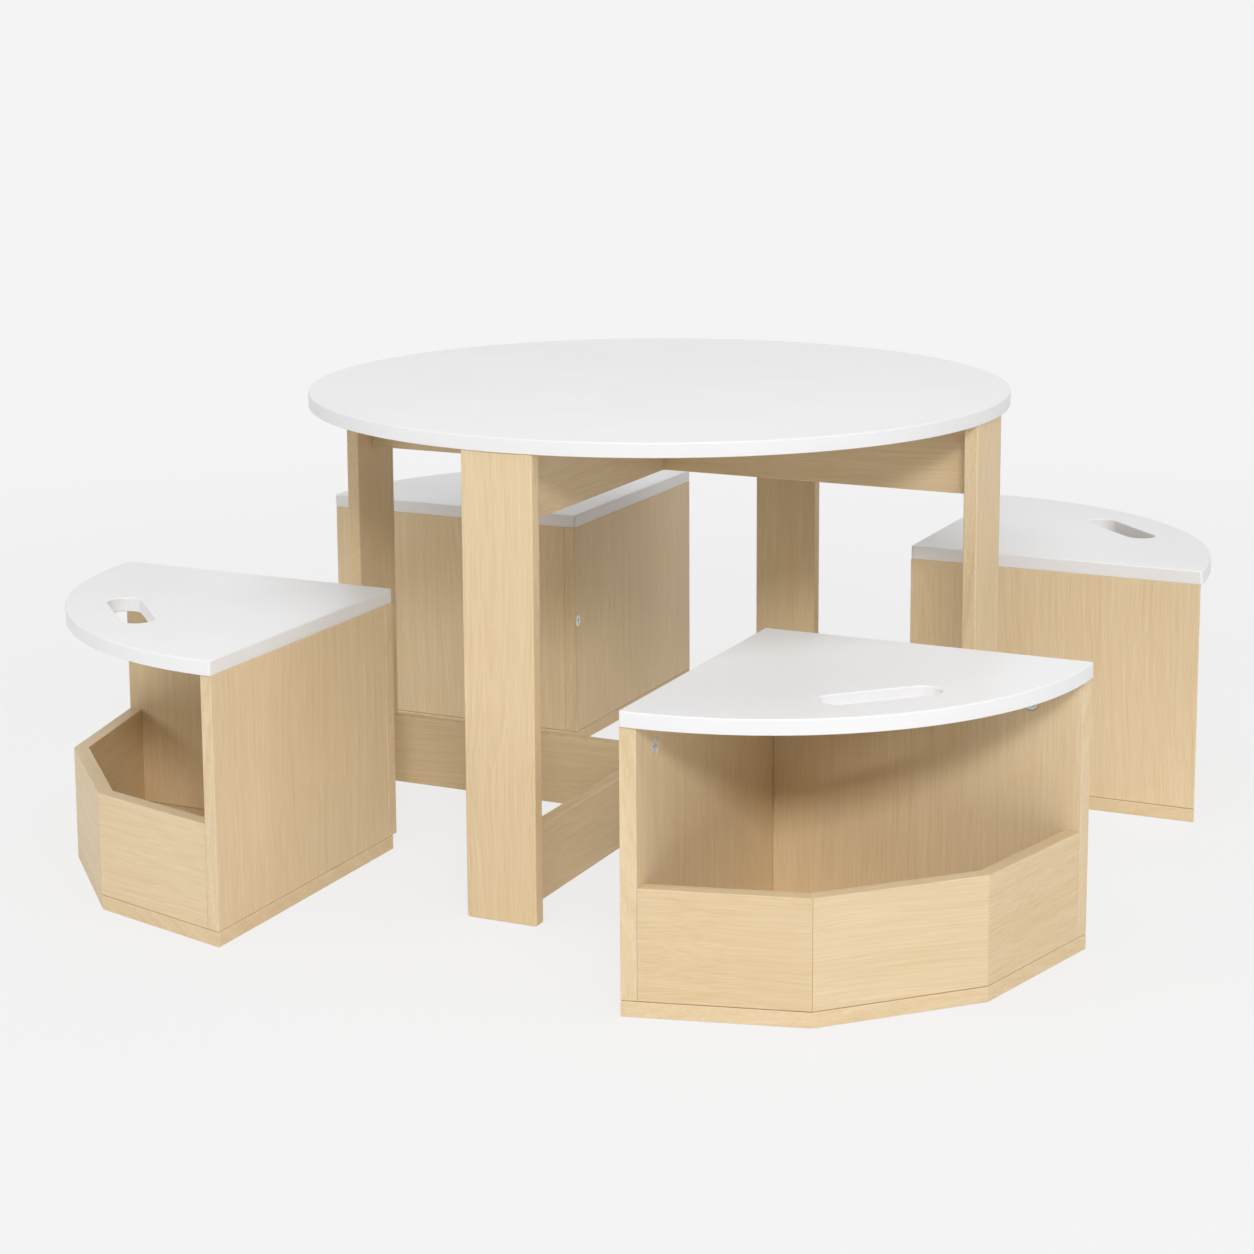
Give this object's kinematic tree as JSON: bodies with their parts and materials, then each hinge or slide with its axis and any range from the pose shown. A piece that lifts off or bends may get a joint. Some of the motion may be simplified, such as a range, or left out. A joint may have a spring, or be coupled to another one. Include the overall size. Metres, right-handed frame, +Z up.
{
  "type": "kids table and chair set",
  "caption": "Round white-topped play table on broad wooden legs, with quarter-round storage stools whose faceted bins and slotted seats tuck in between the legs.",
  "frame": {"origin": "on the floor under the middle of the table top", "axes": "+Z up; X and Y along the rails, with the picture taken from the front right, -Y towards +X"},
  "size_m": [1.1084, 1.1084, 0.49],
  "materials": {
    "white_board": "smooth satin white lacquer on board",
    "light_wood": "light natural wood with a fine straight grain under clear matt lacquer",
    "nickel": "nickel-plated zinc and steel fixings",
    "dowel_wood": "plain beech dowel"
  },
  "bodies": {
    "table": {"table_top": "white_board", "front_leg": "light_wood", "right_leg": "light_wood", "rear_leg": "light_wood", "left_leg": "light_wood", "upper_rail_front_to_rear": "light_wood", "upper_rail_left_to_right": "light_wood", "lower_rail_front_to_rear": "light_wood", "lower_rail_left_to_right": "light_wood", "table_cam_locks": "nickel", "table_cam_bolts": "nickel", "table_dowels": "dowel_wood"},
    "rear_right_stool": {"rear_right_stool_seat": "white_board", "rear_right_stool_left_side": "light_wood", "rear_right_stool_right_side": "light_wood", "rear_right_stool_bin_left": "light_wood", "rear_right_stool_bin_middle": "light_wood", "rear_right_stool_bin_right": "light_wood", "rear_right_stool_base": "light_wood", "rear_right_stool_cam_locks": "nickel", "rear_right_stool_cam_bolts": "nickel", "rear_right_stool_dowels": "dowel_wood", "rear_right_stool_screws": "nickel"},
    "rear_left_stool": {"rear_left_stool_seat": "white_board", "rear_left_stool_left_side": "light_wood", "rear_left_stool_right_side": "light_wood", "rear_left_stool_bin_left": "light_wood", "rear_left_stool_bin_middle": "light_wood", "rear_left_stool_bin_right": "light_wood", "rear_left_stool_base": "light_wood", "rear_left_stool_cam_locks": "nickel", "rear_left_stool_cam_bolts": "nickel", "rear_left_stool_dowels": "dowel_wood", "rear_left_stool_screws": "nickel"},
    "front_left_stool": {"front_left_stool_seat": "white_board", "front_left_stool_left_side": "light_wood", "front_left_stool_right_side": "light_wood", "front_left_stool_bin_left": "light_wood", "front_left_stool_bin_middle": "light_wood", "front_left_stool_bin_right": "light_wood", "front_left_stool_base": "light_wood", "front_left_stool_cam_locks": "nickel", "front_left_stool_cam_bolts": "nickel", "front_left_stool_dowels": "dowel_wood", "front_left_stool_screws": "nickel"},
    "front_right_stool": {"front_right_stool_seat": "white_board", "front_right_stool_left_side": "light_wood", "front_right_stool_right_side": "light_wood", "front_right_stool_bin_left": "light_wood", "front_right_stool_bin_middle": "light_wood", "front_right_stool_bin_right": "light_wood", "front_right_stool_base": "light_wood", "front_right_stool_cam_locks": "nickel", "front_right_stool_cam_bolts": "nickel", "front_right_stool_dowels": "dowel_wood", "front_right_stool_screws": "nickel"}
  },
  "joints": [
    {"name": "rear_right_stool_slide", "type": "slide", "parent": "table", "child": "rear_right_stool", "axis": [-0.7071, -0.7071, 0], "range_m": [0, 0.247]},
    {"name": "rear_left_stool_slide", "type": "slide", "parent": "table", "child": "rear_left_stool", "axis": [0.7071, -0.7071, 0], "range_m": [0, 0.247]},
    {"name": "front_left_stool_slide", "type": "slide", "parent": "table", "child": "front_left_stool", "axis": [0.7071, 0.7071, 0], "range_m": [0, 0.247]},
    {"name": "front_right_stool_slide", "type": "slide", "parent": "table", "child": "front_right_stool", "axis": [-0.7071, 0.7071, 0], "range_m": [0, 0.247]}
  ]
}
